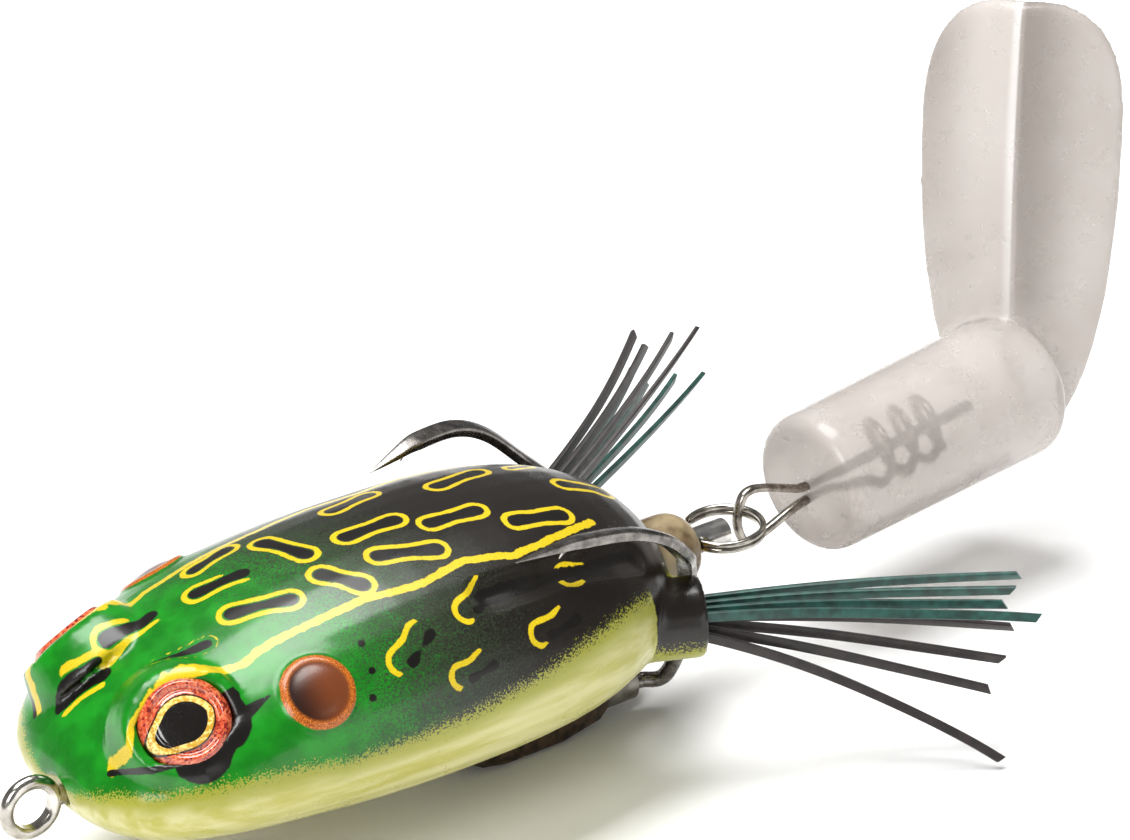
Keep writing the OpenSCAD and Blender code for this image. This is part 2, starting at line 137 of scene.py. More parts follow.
class Finish:
    def __init__(self, name, rough, metal=0.0, **sockets):
        self.material = bpy.data.materials.new(name)
        self.material.use_nodes = True
        self.tree = self.material.node_tree
        self.shader = self.tree.nodes["Principled BSDF"]
        self.shader.inputs["Roughness"].default_value = rough
        self.shader.inputs["Metallic"].default_value = metal
        for socket, value in sockets.items():
            self.shader.inputs[socket.replace("_", " ")].default_value = value
        self.place = self.tree.nodes.new("ShaderNodeTexCoord").outputs["Object"]

    def add(self, kind, inputs, **settings):
        node = self.tree.nodes.new("ShaderNode" + kind)
        for key, value in settings.items():
            setattr(node, key, value)
        for key, value in inputs.items():
            if isinstance(value, bpy.types.NodeSocket):
                self.tree.links.new(value, node.inputs[key])
            else:
                node.inputs[key].default_value = value
        return node

    def read(self, name):
        return self.add("Attribute", {}, attribute_name=name).outputs["Fac"]

    def noise(self, size_mm, detail=2.0, stretch=None):
        place = self.place
        if stretch:
            place = self.add("Mapping", {"Vector": place, "Scale": stretch}).outputs["Vector"]
        return self.add("TexNoise", {"Vector": place, "Scale": 1000 / size_mm,
                                     "Detail": detail}).outputs["Fac"]

    def sum(self, kind, first, second):
        return self.add("Math", {0: first, 1: second}, operation=kind).outputs[0]

    def step(self, value, start, end):
        """0 below start, 1 above end, smooth between."""
        return self.add("MapRange", {"Value": value, "From Min": start, "From Max": end},
                        interpolation_type="SMOOTHSTEP").outputs["Result"]

    def mix(self, share, under, over):
        node = self.add("Mix", {0: share}, data_type="RGBA")
        for key, value in ((6, under), (7, over)):
            if isinstance(value, bpy.types.NodeSocket):
                self.tree.links.new(value, node.inputs[key])
            else:
                node.inputs[key].default_value = value
        return node.outputs[2]

    def colour(self, value):
        self.tree.links.new(value, self.shader.inputs["Base Color"])

    def rough(self, value, low, high):
        ranged = self.add("MapRange", {"Value": value, "To Min": low, "To Max": high})
        self.tree.links.new(ranged.outputs["Result"], self.shader.inputs["Roughness"])

    def bump(self, height, depth_mm, strength=1.0):
        node = self.add("Bump", {"Height": height, "Distance": depth_mm * MM, "Strength": strength})
        self.tree.links.new(node.outputs["Normal"], self.shader.inputs["Normal"])


def dress(piece, finish):
    piece.data.materials.clear()
    piece.data.materials.append(finish.material)


print("finish kit ready")

# %% Lay the floor
def grid_mesh(name, points, faces):
    mesh = bpy.data.meshes.new(name)
    mesh.from_pydata([tuple(p) for p in np.asarray(points) * MM], [], faces)
    piece = bpy.data.objects.new(name, mesh)
    bpy.context.collection.objects.link(piece)
    return piece


card = Finish("pale card", 0.9)
card.colour(card.mix(card.noise(3), hue("F4F4F3"), hue("F8F8F7")))
card.bump(card.noise(0.5), 0.01, 0.2)
floor_level = frame_box[0].z / MM - 0.4
floor = grid_mesh("floor", [(-3000, -3000, floor_level), (3000, -3000, floor_level),
                            (3000, 3000, floor_level), (-3000, 3000, floor_level)], [(0, 1, 2, 3)])
dress(floor, card)
print("floor at", round(floor_level, 1), "mm")

# %% [markdown]
# ## The hollow body
# The body is one soft moulding: a rounded shell with eye pockets, ear domes, leg sockets and
# a tail boss. Separate solids would meet in hard creases, and rubber from a mould has none.
# So the shell's own mesh is copied, rebuilt as a fine even skin with a voxel remesh, and
# relaxed until every junction is a soft fillet. The even skin also carries the paint later.

# %% Rebuild the shell as a soft skin
def copy_of(node, name):
    mesh = nodes[node].data.copy()
    piece = bpy.data.objects.new(name, mesh)
    bpy.context.collection.objects.link(piece)
    mesh.materials.clear()
    return piece


def settle(piece):
    """Applies the modifiers of a piece."""
    view = bpy.context.evaluated_depsgraph_get()
    mesh = bpy.data.meshes.new_from_object(piece.evaluated_get(view))
    piece.modifiers.clear()
    piece.data = mesh


def weld(piece):
    joint = piece.modifiers.new("weld", "WELD")
    joint.merge_threshold = 0.002 * MM
    settle(piece)


def soften(piece, voxel_mm, passes, strength=0.5):
    remesh = piece.modifiers.new("even skin", "REMESH")
    remesh.mode, remesh.voxel_size = "VOXEL", voxel_mm * MM
    relax = piece.modifiers.new("relax", "SMOOTH")
    relax.iterations, relax.factor = passes, strength
    settle(piece)
    piece.data.shade_smooth()


def corners(piece):
    count = len(piece.data.vertices)
    flat = np.empty(count * 3)
    piece.data.vertices.foreach_get("co", flat)
    return flat.reshape(-1, 3) / MM


def move_corners(piece, points):
    piece.data.vertices.foreach_set("co", (np.asarray(points) * MM).ravel())
    piece.data.update()


body = copy_of("body_shell", "frog_body")
weld(body)
soften(body, 0.3, 7)
skin = corners(body)
print("soft body has", len(skin), "points")

# %% [markdown]
# ## A map of the frog's skin
# Paint is easiest to place by a share of the body's length from the nose, and an angle down
# from the top of the back, as a decorator would mask it. These two helpers turn such a pair
# into a point on the skin, and every point of the skin into such a pair.

# %% Lay out the skin map
shell_low, shell_high = span("body_shell")
NOSE, LENGTH = shell_low[0] - 0.07, 57.5
HALF, BACK, BELLY = shell_high[1], 10.8, 10.6
WAIST = shell_high[2] - BACK
PEAK = 0.58
NOSE_POWER, SNOUT_POWER, REAR_POWER = 2, 3.2, 2.7
SNOUT_DROP, SNOUT_SHARE = 2.6, 0.34


def bulge(t, near, far):
    t = np.clip(t, 0.002, 0.998)
    front = (1 - np.clip(1 - t / PEAK, 0, 1) ** near) ** (1 / near)
    rear = (1 - np.clip((t - PEAK) / (1 - PEAK), 0, 1) ** far) ** (1 / far)
    return np.where(t < PEAK, front, rear)


def centre_height(t):
    return WAIST - SNOUT_DROP * np.maximum(0, 1 - t / SNOUT_SHARE) ** 1.6


def on_skin(t, degrees):
    a, t = np.radians(degrees), np.asarray(t, float)
    tall = bulge(t, NOSE_POWER, REAR_POWER) * np.where(np.cos(a) > 0, BACK, BELLY)
    return np.stack([NOSE + t * LENGTH, HALF * bulge(t, SNOUT_POWER, REAR_POWER) * np.sin(a),
                     centre_height(t) + tall * np.cos(a)], -1)


along = (skin[:, 0] - NOSE) / LENGTH
up = skin[:, 2] - centre_height(along)
tall = bulge(along, NOSE_POWER, REAR_POWER) * np.where(up > 0, BACK, BELLY)
wide = HALF * bulge(along, SNOUT_POWER, REAR_POWER)
down = np.degrees(np.arctan2(skin[:, 1] / wide, up / tall))
plain = on_skin(along, down)
print("skin map: widest at", round(float(skin[np.argmax(skin[:, 1]), 0]), 1), "mm")


# %% [markdown]
# Each marking is a line or a capsule laid on that map. Two helpers measure how far every
# point of the skin lies from a short segment, or from a line of several segments.

# %% Distance helpers
def to_segment(points, a, b):
    """Distance of points from a segment, and how far along it the nearest place is."""
    line = b - a
    share = np.clip(((points - a) @ line) / (line @ line), 0, 1)
    return np.linalg.norm(points - (a + share[:, None] * line), axis=1), share


def to_line(points, line):
    best = np.full(len(points), 99.0)
    for a, b in zip(line[:-1], line[1:]):
        best = np.minimum(best, to_segment(points, a, b)[0])
    return best


def unit(v):
    v = np.asarray(v, float)
    return v / np.linalg.norm(v)


print("one mm from a line reads", to_line(np.array([[0.0, 1, 0]]), np.array([[-1.0, 0, 0], [1, 0, 0]])))

# %% [markdown]
# ## Where each marking lies
# Each marking becomes a number on every point of the skin: how many millimetres that point
# is outside it. The shader then cuts the number at zero, so an edge stays crisp between two
# points of the mesh, and a little noise on the number makes the ragged edge of sprayed or
# brushed paint. First the yellow line that runs from the jaw round the eye to the rump.

# %% Measure the yellow side line
LINE_SHARE = [0.035, 0.042, 0.06, 0.09, 0.12, 0.15, 0.18, 0.21, 0.235, 0.26, 0.30, 0.36, 0.43,
              0.48, 0.52, 0.56, 0.60, 0.64, 0.68, 0.73, 0.79, 0.84]
LINE_ANGLE = [40, 32, 23, 19.5, 18.5, 20, 24, 29, 30.5, 29, 29, 29.5, 29, 31, 32, 30.5, 29, 31,
              33.5, 32.5, 31, 29.5]
folded = plain.copy()
folded[:, 1] = np.abs(folded[:, 1])
side_line = to_line(folded, on_skin(np.array(LINE_SHARE), np.array(LINE_ANGLE)))
print("line is nearest at", round(float(side_line.min()), 2), "mm")

# %% [markdown]
# The peanut spots on the back are black with a yellow outline. Each is a capsule with a
# narrower waist. Some on the head and sides have only part of their outline, so each spot
# says how much of the outline its maker painted and on which side.

# %% Measure the peanut spots
BACK_SPOTS = [
    (0.05, 18, 0.105, 7, 0.85, "sides"), (0.125, 13, 0.20, 13.5, 0.95, "front"),
    (0.145, -9, 0.215, -15, 0.75, "thin"), (0.27, -10, 0.345, -17, 0.95, "all"),
    (0.265, 8, 0.33, 4.5, 1.0, "front"), (0.40, 16, 0.42, -1, 0.95, "all"),
    (0.41, -13, 0.445, -23.5, 0.95, "all"), (0.50, -15, 0.58, -21, 0.9, "all"),
    (0.49, -1, 0.57, -1.5, 0.95, "all"), (0.61, -9, 0.685, -10, 0.9, "all"),
    (0.69, 11, 0.77, 15, 0.95, "all"), (0.725, -20, 0.80, -23, 0.9, "all"),
    (0.865, -5, 0.93, -9, 0.85, "all"), (0.83, 15, 0.865, 18, 0.5, "all"),
    (0.30, 22, 0.36, 24, 0.9, "all"), (0.53, 19, 0.60, 22, 0.9, "all"),
]
SIDE_SPOTS = [
    (0.43, -56, 0.475, -49, 1.0), (0.51, -70, 0.55, -68, 0.85), (0.56, -47, 0.61, -41, 0.95),
    (0.655, -65, 0.705, -63, 0.9), (0.745, -47, 0.80, -50, 0.9),
]
outline = np.full(len(skin), 9.0)
core = np.full(len(skin), 9.0)


def spot(points, a, b, radius, kind):
    away_mm, share = to_segment(points, a, b)
    edge = away_mm - radius * (1 - 0.2 * np.sin(math.pi * share) ** 2)
    axis = unit(b - a)
    across = unit(np.cross(axis, (0, 0, 1)))
    ahead, out = (points - (a + b) / 2) @ axis, (points - (a + b) / 2) @ across
    lean = (points - (a + b) / 2) @ np.array((-0.62, 0, 0.78))
    bare = {"all": 0 * ahead, "thin": 0 * ahead + 0.1, "sides": np.abs(ahead) - 1.6,
            "front": ahead - 1.2 - 0.8 * out, "arc": 0.15 - lean}[kind]
    ring = np.abs(edge - 0.12) - (0.25 if kind != "thin" else 0.16)
    return np.where(bare > 0, ring + np.minimum(bare, 3), ring), edge + 0.28


FROM_ABOVE = np.array([1, 1, 0])
BROWS_END = 0.2
for t1, a1, t2, a2, radius, kind in BACK_SPOTS:
    a, b = on_skin(t1, a1), on_skin(t2, a2)
    # Spots between the eyes are measured from above, since the brows stand off the plain skin
    if t1 < BROWS_END:
        ring, inner = spot(skin * FROM_ABOVE, a * FROM_ABOVE, b * FROM_ABOVE, radius, kind)
        under = np.where(up > 0, -9, 9)
        ring, inner = np.maximum(ring, under), np.maximum(inner, under)
    else:
        ring, inner = spot(plain, a, b, radius, kind)
    outline, core = np.minimum(outline, ring), np.minimum(core, inner)
left_folded = folded * np.array([1, -1, 1])
for t1, a1, t2, a2, radius in SIDE_SPOTS:
    a, b = on_skin(t1, a1), on_skin(t2, a2)
    ring, _ = spot(left_folded, a, b, radius, "arc")
    shift = np.array([0.9, 0, -0.5])
    _, inner = spot(left_folded, a + shift, b + shift, radius * 0.9, "all")
    outline, core = np.minimum(outline, ring), np.minimum(core, inner)
print("spots cover", int((core < 0).sum()), "points")

# %% [markdown]
# The belly is bare pale rubber, and its edge runs from the lips back along the flank and up
# at the rump. The black mask under each eye has a scalloped edge, a streak to the jaw and a
# spike towards the ear. Three small dots sit behind the ear.

# %% Measure belly, mask, ears and dots
BELLY_SHARE = [0.0, 0.03, 0.05, 0.13, 0.26, 0.31, 0.41, 0.51, 0.62, 0.74, 0.82, 0.92]
BELLY_ANGLE = [55, 60, 68, 76, 84, 89, 88.5, 87, 83, 75, 71, 70]
girth = np.hypot(wide, tall) * 0.7
belly = (np.interp(along, BELLY_SHARE, BELLY_ANGLE) - np.abs(down)) * math.pi / 180 * girth
leg_low, leg_high = span("skirt_collar_left")
leg = (leg_low + leg_high) / 2
on_socket = (np.abs(skin[:, 1]) > 9.6) & (skin[:, 0] > leg[0] - 3.6)
belly = np.where(on_socket, skin[:, 2] - leg[2] + 1.4, belly)
on_boss = (np.abs(skin[:, 1]) < 4.2) & (skin[:, 0] > NOSE + LENGTH - 1.2)
belly = np.where(on_boss, 4, belly)
boss = np.where(on_boss, skin[:, 0] - (NOSE + LENGTH + 0.6), -3)

eye_low, eye_high = span("eye_left")
EYE = (eye_low + eye_high) / 2
EYE_OUT = unit((-0.3, -0.66, 0.69))
EYE_FORE = unit(np.array((-1, 0, -0.15)) - np.dot((-1, 0, -0.15), EYE_OUT) * EYE_OUT)
EYE_UP = np.cross(EYE_FORE, EYE_OUT)
EYE_UP = EYE_UP * np.sign(EYE_UP[2])
near_skin = skin * np.array([1, 0, 1]) - np.abs(skin) * np.array([0, 1, 0])
from_eye = near_skin - EYE
fore, over = from_eye @ EYE_FORE, from_eye @ EYE_UP
print("eye up points to", EYE_UP.round(2))
around = np.degrees(np.arctan2(over, fore))
reach = np.hypot(fore, over)
lobes = 4.75 + 0.45 * np.abs(np.sin(np.radians(around * 3.1)))
under_eye = np.maximum(np.maximum(reach - lobes, over - 0.6), fore - 2.6)
to_jaw = to_line(left_folded, on_skin(np.array([0.085, 0.05, 0.032]), np.array([-56, -45, -40]))) - 0.28
spike_ends = on_skin(np.array([0.19, 0.245]), np.array([-49, -46.5]))
spike_away, spike_share = to_segment(left_folded, spike_ends[0], spike_ends[1])
mask = np.minimum(np.minimum(under_eye, to_jaw), spike_away - 0.75 * (1 - spike_share))

EAR = on_skin(0.298, -54)
EAR_OUT = unit((-0.12, -0.66, 0.74))
ear_offset = left_folded - EAR
ear_flat = ear_offset - (ear_offset @ EAR_OUT)[:, None] * EAR_OUT
ear = np.linalg.norm(ear_flat, axis=1)
# Painted light and shade across each ear dome: lighter towards the rear and top, darker towards the
# front.
ear_painted_light_side = ear_flat @ unit((1, -0.2, 0.2)) / 3
dots = np.full(len(skin), 9.0)
for t, a in ((0.389, -44), (0.383, -55), (0.368, -65)):
    dots = np.minimum(dots, np.linalg.norm(left_folded - on_skin(t, a), axis=1) - 0.34)
print("mask covers", int((mask < 0).sum()), "points, ear", int((ear < 3.1).sum()))

# %% [markdown]
# ## Lids and ear domes
# The exact shell has round pockets and plain studs. On the frog, a lid reaches over the top
# and bottom of each eye, and the ears are low domes with a pressed rim. Both are small moves
# of the skin, like a thumb on clay: points near a place slide along one direction.

# %% Draw the lids and dome the ears
facing = from_eye @ EYE_OUT
rim = np.exp(-((reach - 4.1) / 0.75) ** 2) * (facing > -0.6) * (facing < 3)
lid = rim * np.clip((np.abs(over) - 1.6) / 1.8, 0, 1)
lid_move = -0.75 * lid[:, None] * np.sign(over)[:, None] * EYE_UP + 0.25 * lid[:, None] * EYE_OUT
outward = np.stack([0 * down, np.sin(np.radians(down)) / HALF, np.cos(np.radians(down)) / BACK], -1)
outward /= np.linalg.norm(outward, axis=1)[:, None]
dome = 0.55 * np.clip(1 - (ear / 3.3) ** 2, 0, 1) + 0.16 * np.exp(-((ear - 2.7) / 0.4) ** 2)
share_ear = np.clip((4.6 - ear) / 0.9, 0, 1) * (np.linalg.norm(skin - plain, axis=1) < 1.5)
side_sign = np.where(skin[:, 1] > 0, -1, 1)[:, None] * np.array([0, 1, 0]) + np.array([1, 0, 1])
shaped = skin + share_ear[:, None] * (plain + outward * dome[:, None] - skin) + lid_move * side_sign
print("lids move up to", round(float(np.abs(lid_move).max()), 2), "mm")
print("ears cover", int((share_ear > 0.5).sum()), "points")

# %% [markdown]
# ## Rests for the hook points
# The two hook points lie in shallow troughs pressed into the back, so that a soft body can
# fold away from them. The skin near each needle is pushed in along a soft-edged capsule.

# %% Press the troughs under the points
needle_a, needle_b = on_skin(0.60, -44), on_skin(0.87, -50)
trough_away, _ = to_segment(left_folded, needle_a, needle_b)
press = 0.75 * np.clip(1 - trough_away / 1.7, 0, 1) ** 0.7
inward = np.stack([0 * press, np.sign(skin[:, 1]) * -0.55, 0 * press - 0.8], -1)
from_axis = np.hypot(skin[:, 1] / HALF, up / np.where(up > 0, BACK, BELLY))
outer = from_axis > 0.86 * bulge(along, 2.5, REAR_POWER)
pressed = shaped + inward * (press * outer)[:, None]
move_corners(body, pressed)
# The trough measure also places painted shade: the body paint turns it black under each hook point.
trough = trough_away - 0.85
print("deepest trough", round(float((press * outer).max()), 2), "mm")

# %% [markdown]
# ## Body paint
# From the bottom up: pale belly rubber, a green head that is sprayed out into black over the
# back, then the yellow line, the spots, the mask, the ears and a clear coat. Spray leaves
# tiny separate drops at its edge, so the fade is cut by a fine noise instead of being blended.

# %% Store the measures on the skin
def store(piece, name, values):
    layer = piece.data.attributes.new(name, "FLOAT", "POINT")
    layer.data.foreach_set("value", np.asarray(values, np.float32))


shade = along + 0.10 * np.clip(1 - np.abs(down - 25) / 55, 0, 1)
for name, values in (("line", side_line), ("outline", outline), ("core", core), ("belly", belly),
                     ("mask", mask), ("boss", boss), ("ear", ear), ("ear_painted_light_side", ear_painted_light_side), ("dots", dots),
                     ("shade", shade), ("trough", trough)):
    store(body, name, values)
print("stored", [a.name for a in body.data.attributes if a.data_type == "FLOAT"])

# %% Mix the body paint
def body_paint():
    coat = Finish("sprayed soft rubber", 0.3, Coat_Weight=0.25, Coat_Roughness=0.16,
                  Specular_IOR_Level=0.35)
    drops, fine, cloud = coat.noise(0.16, 1), coat.noise(0.07, 1), coat.noise(2.5, 3)
    green = coat.mix(coat.step(cloud, 0.35, 0.7), hue("066A0C"), hue("0E8414"))
    spatter = coat.sum("SUBTRACT", drops, 0.5)
    spray = coat.sum("ADD", coat.read("shade"), coat.sum("MULTIPLY", spatter, 0.42))
    dusk = coat.mix(coat.step(spray, 0.30, 0.50), green, hue("2B3524"))
    ground = coat.mix(coat.step(spray, 0.48, 0.66), dusk, hue("1A1511"))
    # Lighter cream streaks stretched along the length of the belly are a painted highlight.
    painted_highlight_streaks = coat.noise(1.2, 3, (0.12, 1, 1))
    pale = coat.mix(coat.step(painted_highlight_streaks, 0.3, 0.7), hue("ADA94A"), hue("C9C488"))
    pale = coat.mix(coat.step(coat.read("belly"), -3.5, -0.6), pale, hue("9A9A38"))
    edge = coat.sum("ADD", coat.read("belly"), coat.sum("MULTIPLY", spatter, 4.2))
    colour = coat.mix(coat.step(edge, -0.45, 0.55), pale, ground)
    yellow = coat.mix(coat.step(fine, 0.35, 0.65), hue("D9C31E"), hue("C4A40C"))

    def cut(name, half, rag):
        """1 inside the marking, with an uneven edge."""
        wander = coat.sum("SUBTRACT", coat.noise(0.7, 3), 0.5)
        uneven = coat.sum("ADD", coat.read(name), coat.sum("MULTIPLY", wander, rag))
        return coat.sum("SUBTRACT", 1, coat.step(uneven, half - 0.05, half + 0.05))

    horn = coat.mix(coat.step(cloud, 0.3, 0.7), hue("5E4C34"), hue("A39170"))
    colour = coat.mix(coat.step(coat.read("boss"), 0, 1.6), colour, horn)
    night = hue("100D0A")
    colour = coat.mix(cut("core", 0, 0.25), colour, night)
    colour = coat.mix(cut("outline", 0, 0.22), colour, yellow)
    colour = coat.mix(cut("line", 0.38, 0.45), colour, yellow)
    # Painted shade: black along the troughs under the hook points.
    colour = coat.mix(cut("trough", 0, 0.5), colour, night)
    colour = coat.mix(cut("mask", 0, 0.2), colour, night)
    colour = coat.mix(cut("dots", 0, 0.1), colour, night)
    # The copper of the ear dome is painted dark on one side and light on the other: painted shade and
    # painted light.
    copper_painted_shade = coat.mix(coat.step(coat.read("ear_painted_light_side"), -0.75, 0.35), hue("240F07"), hue("6B3619"))
    rim = coat.mix(coat.step(fine, 0.42, 0.6), hue("7A3210"), hue("D67A22"))
    lit = coat.mix(coat.step(coat.read("ear"), 2.25, 2.65), copper_painted_shade, rim)
    colour = coat.mix(cut("ear", 3.05, 0.2), colour, lit)
    coat.colour(colour)
    coat.rough(cloud, 0.22, 0.36)
    coat.bump(coat.sum("ADD", fine, coat.sum("MULTIPLY", drops, 0.6)), 0.012, 0.5)
    return coat


dress(body, body_paint())
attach(body, "lure")
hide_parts("body_shell")
print("body painted")

# %% [markdown]
# ## Eyes
# Each eye is a moulded button: a glitter-filled rim that stands up round a shallow groove,
# then a clear-coated dome with a drop-shaped gold iris and a black pupil. It is a turned
# shape, so it is made by spinning a profile, and the drop is drawn by the shader from a
# measure that pulls the circle out to a point towards the nose.

# %% Spin the eyes
def spin(name, profile, turns, centre, axis, start):
    """Turns (radius, height) pairs round an axis; start is the direction of angle zero."""
    out, first = unit(axis), unit(start)
    second = np.cross(out, first)
    points, faces = [np.array(centre) + out * profile[0][1]], []
    for radius, height in profile[1:]:
        for k in range(turns):
            a = 2 * math.pi * k / turns
            points.append(centre + out * height + radius * (math.cos(a) * first + math.sin(a) * second))
    for k in range(turns):
        faces.append((0, 1 + k, 1 + (k + 1) % turns))
    for j in range(len(profile) - 2):
        for k in range(turns):
            a, b = 1 + j * turns, 1 + (j + 1) * turns
            q = (k + 1) % turns
            faces.append((a + k, b + k, b + q, a + q))
    faces.append(tuple(1 + (len(profile) - 2) * turns + k for k in reversed(range(turns))))
    piece = grid_mesh(name, points, faces)
    piece.data.shade_smooth()
    return piece


EYE_R = 3.7
EYE_SINK, DROP_PULL, EYE_SQUINT = 0.30, 0.42, 0.20
DOME = [(EYE_R * s, 1.45 * math.sqrt(max(0, 1 - (s * EYE_R / 4.4) ** 2)) + 0.08
         + 0.32 * math.exp(-((s - 0.84) / 0.085) ** 2) - 0.16 * math.exp(-((s - 0.69) / 0.05) ** 2))
        for s in np.linspace(0, 0.97, 34)]
EYE_PROFILE = DOME + [(EYE_R, DOME[-1][1] - 0.35), (EYE_R, -1.1)]


def eye_finish():
    eye = Finish("orange glitter eye", 0.16, Coat_Weight=0.8, Coat_Roughness=0.05)
    flakes = eye.add("TexVoronoi", {"Vector": eye.place, "Scale": 5200.0}).outputs["Color"]
    speck = eye.add("SeparateColor", {"Color": flakes}).outputs[0]
    cloud = eye.noise(1.2, 2)
    patch = eye.sum("ADD", speck, eye.sum("MULTIPLY", eye.sum("SUBTRACT", cloud, 0.5), 1.1))
    coral = eye.mix(eye.step(speck, 0.2, 0.9), hue("C2492A"), hue("F08A5C"))
    coral = eye.mix(eye.step(patch, 0.62, 0.8), coral, hue("7E1712"))
    drop = eye.read("drop")
    gold = eye.mix(eye.step(speck, 0.3, 0.7), hue("C99A2E"), hue("F2D680"))
    colour = eye.mix(eye.step(drop, 2.62, 2.70), hue("2A0F06"), coral)
    colour = eye.mix(eye.step(drop, 2.46, 2.54), gold, colour)
    colour = eye.mix(eye.step(drop, 1.92, 2.0), hue("0C0704"), colour)
    eye.colour(colour)
    eye.bump(speck, 0.02, 0.3)
    return eye


eye_coat = eye_finish()
for node, flip in (("eye_left", 1), ("eye_right", -1)):
    low, high = span(node)
    mirror = np.array((1, flip, 1))
    centre = (low + high) / 2
    seat = centre - EYE_OUT * mirror * EYE_SINK
    eye = spin("dome_" + node, EYE_PROFILE, 72, seat, EYE_OUT * mirror, EYE_FORE * mirror)
    points = corners(eye) - seat
    f, u = points @ (EYE_FORE * mirror), points @ (EYE_UP * mirror)
    f, u = f - 0.15, u + 0.1
    swung = np.degrees(np.arctan2(u, f)) + 12
    stretch = 1 + DROP_PULL * np.clip(np.cos(np.radians(swung)), 0, 1) ** 7
    squint = 1 + EYE_SQUINT * np.abs(np.sin(np.arctan2(u, f)))
    store(eye, "drop", np.hypot(f, u) / stretch * squint)
    dress(eye, eye_coat)
    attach(eye, "lure")
    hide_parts(node)
print("two eyes, each", len(EYE_PROFILE), "rings")

# %% [markdown]
# ## Wire that is bent and forged
# Hooks, the split ring and the tail wire are all wire along a path, and differ only in the
# section. One helper sweeps a section along a smooth path. It turns the section as little as
# possible from one point to the next, which keeps a flat face on the side where it began.

# %% Sweep helper
def curve_through(points, steps):
    """A smooth curve through a few points, with the same number of steps between them."""
    p = [np.array(q, float) for q in points]
    out = []
    for i in range(len(p) - 1):
        a, b, c, d = p[max(i - 1, 0)], p[i], p[i + 1], p[min(i + 2, len(p) - 1)]
        for k in range(steps):
            t = k / steps
            out.append(0.5 * (2 * b + (c - a) * t + (2 * a - 5 * b + 4 * c - d) * t * t
                              + (3 * b - a - 3 * c + d) * t ** 3))
    return np.array(out + [p[-1]])


def sweep(name, path, section, side=(0, 0, 1), sharp=35):
    """section(share) gives the outline at a share of the length, as (across, side) pairs."""
    run = np.concatenate([[0], np.cumsum(np.linalg.norm(np.diff(path, axis=0), axis=1))])
    points, first = [], np.array(side, float)
    for i, place in enumerate(path):
        ahead = unit(path[min(i + 1, len(path) - 1)] - path[max(i - 1, 0)])
        first = unit(first - (first @ ahead) * ahead)
        across = np.cross(ahead, first)
        outline = np.array(section(run[i] / run[-1]))
        points.append(place + outline[:, :1] * across + outline[:, 1:] * first)
    count = len(points[0])
    faces = [tuple(reversed(range(count)))]
    for j in range(len(points) - 1):
        for k in range(count):
            q = (k + 1) % count
            faces.append((j * count + k, j * count + q, (j + 1) * count + q, (j + 1) * count + k))
    faces.append(tuple((len(points) - 1) * count + k for k in range(count)))
    piece = grid_mesh(name, np.concatenate(points), faces)
    piece.data.shade_smooth()
    piece.data.set_sharp_from_angle(angle=math.radians(sharp))
    return piece, run[-1]


def squared_round(width, height, power, sides=20):
    """An outline between an ellipse, power 2, and a rounded bar, power 4 or more."""
    out = []
    for k in range(sides):
        c, s = math.cos(2 * math.pi * k / sides), math.sin(2 * math.pi * k / sides)
        scale = (abs(c) ** power + abs(s) ** power) ** (-1 / power)
        out.append((c * scale * width / 2, s * scale * height / 2))
    return out


print("sweep helper ready")

# %% [markdown]
# ## The double hook
# A forged hook is round wire pressed between flat dies, so its two flat sides catch the
# light and its edges stay dark. The bend starts beside the keel, climbs behind the body
# between the boss and the leg, and lies forward over the back. The point is ground to a
# needle, and a spur cut up from its inner side is the barb.

# %% Forge the two bends
hook_low, _ = span("hook_left")
REAR = NOSE + LENGTH
KEEL_Z = hook_low[2] + 0.7
AXLE_Z = (span("swivel_post")[0][2] + span("swivel_post")[1][2]) / 2
BEND = [(REAR - 2.0, -0.85, KEEL_Z), (REAR + 0.3, -0.85, KEEL_Z),
        (REAR + 1.0, -0.95, KEEL_Z), (REAR + 2.6, -2.3, KEEL_Z + 0.7),
        (REAR + 2.6, -5, AXLE_Z - 4.6), (REAR + 1.4, -6.5, AXLE_Z + 0.2),
        (REAR - 0.4, -8.5, AXLE_Z + 4), (REAR - 3, -11.3, AXLE_Z + 6.8),
        (REAR - 6, -12.4, AXLE_Z + 9.6), (REAR - 9.5, -12.3, AXLE_Z + 11.2),
        (REAR - 14, -11.5, AXLE_Z + 11.6), (REAR - 16.6, -10.9, AXLE_Z + 11.35),
        (REAR - 19.6, -10.2, AXLE_Z + 10.9)]


def forged(share):
    press = min(1, max(0, (share - 0.18) / 0.12))
    point = max(0.04, min(1, (1 - share) / 0.13)) ** 0.75
    return squared_round((1.4 - 0.34 * press) * point, (1.4 + 0.22 * press) * point,
                         2 + 2.6 * press, 24)


def barb_section(share):
    return squared_round(0.34 * (1 - 0.85 * share), 0.95 * (1 - 0.9 * share), 3, 12)


def forged_finish():
    steel = Finish("black nickel hook", 0.26, 1.0)
    worn = steel.add("NewGeometry", {}).outputs["Pointiness"]
    cloud = steel.noise(0.9, 3)
    tone = steel.mix(steel.step(cloud, 0.3, 0.7), hue("6A6663"), hue("9A9590"))
    steel.colour(steel.mix(steel.step(worn, 0.52, 0.6), tone, hue("C8C4BE")))
    steel.rough(steel.noise(0.3, 3), 0.18, 0.36)
    steel.bump(steel.noise(0.25, 3, (1, 1, 0.3)), 0.02, 0.35)
    return steel


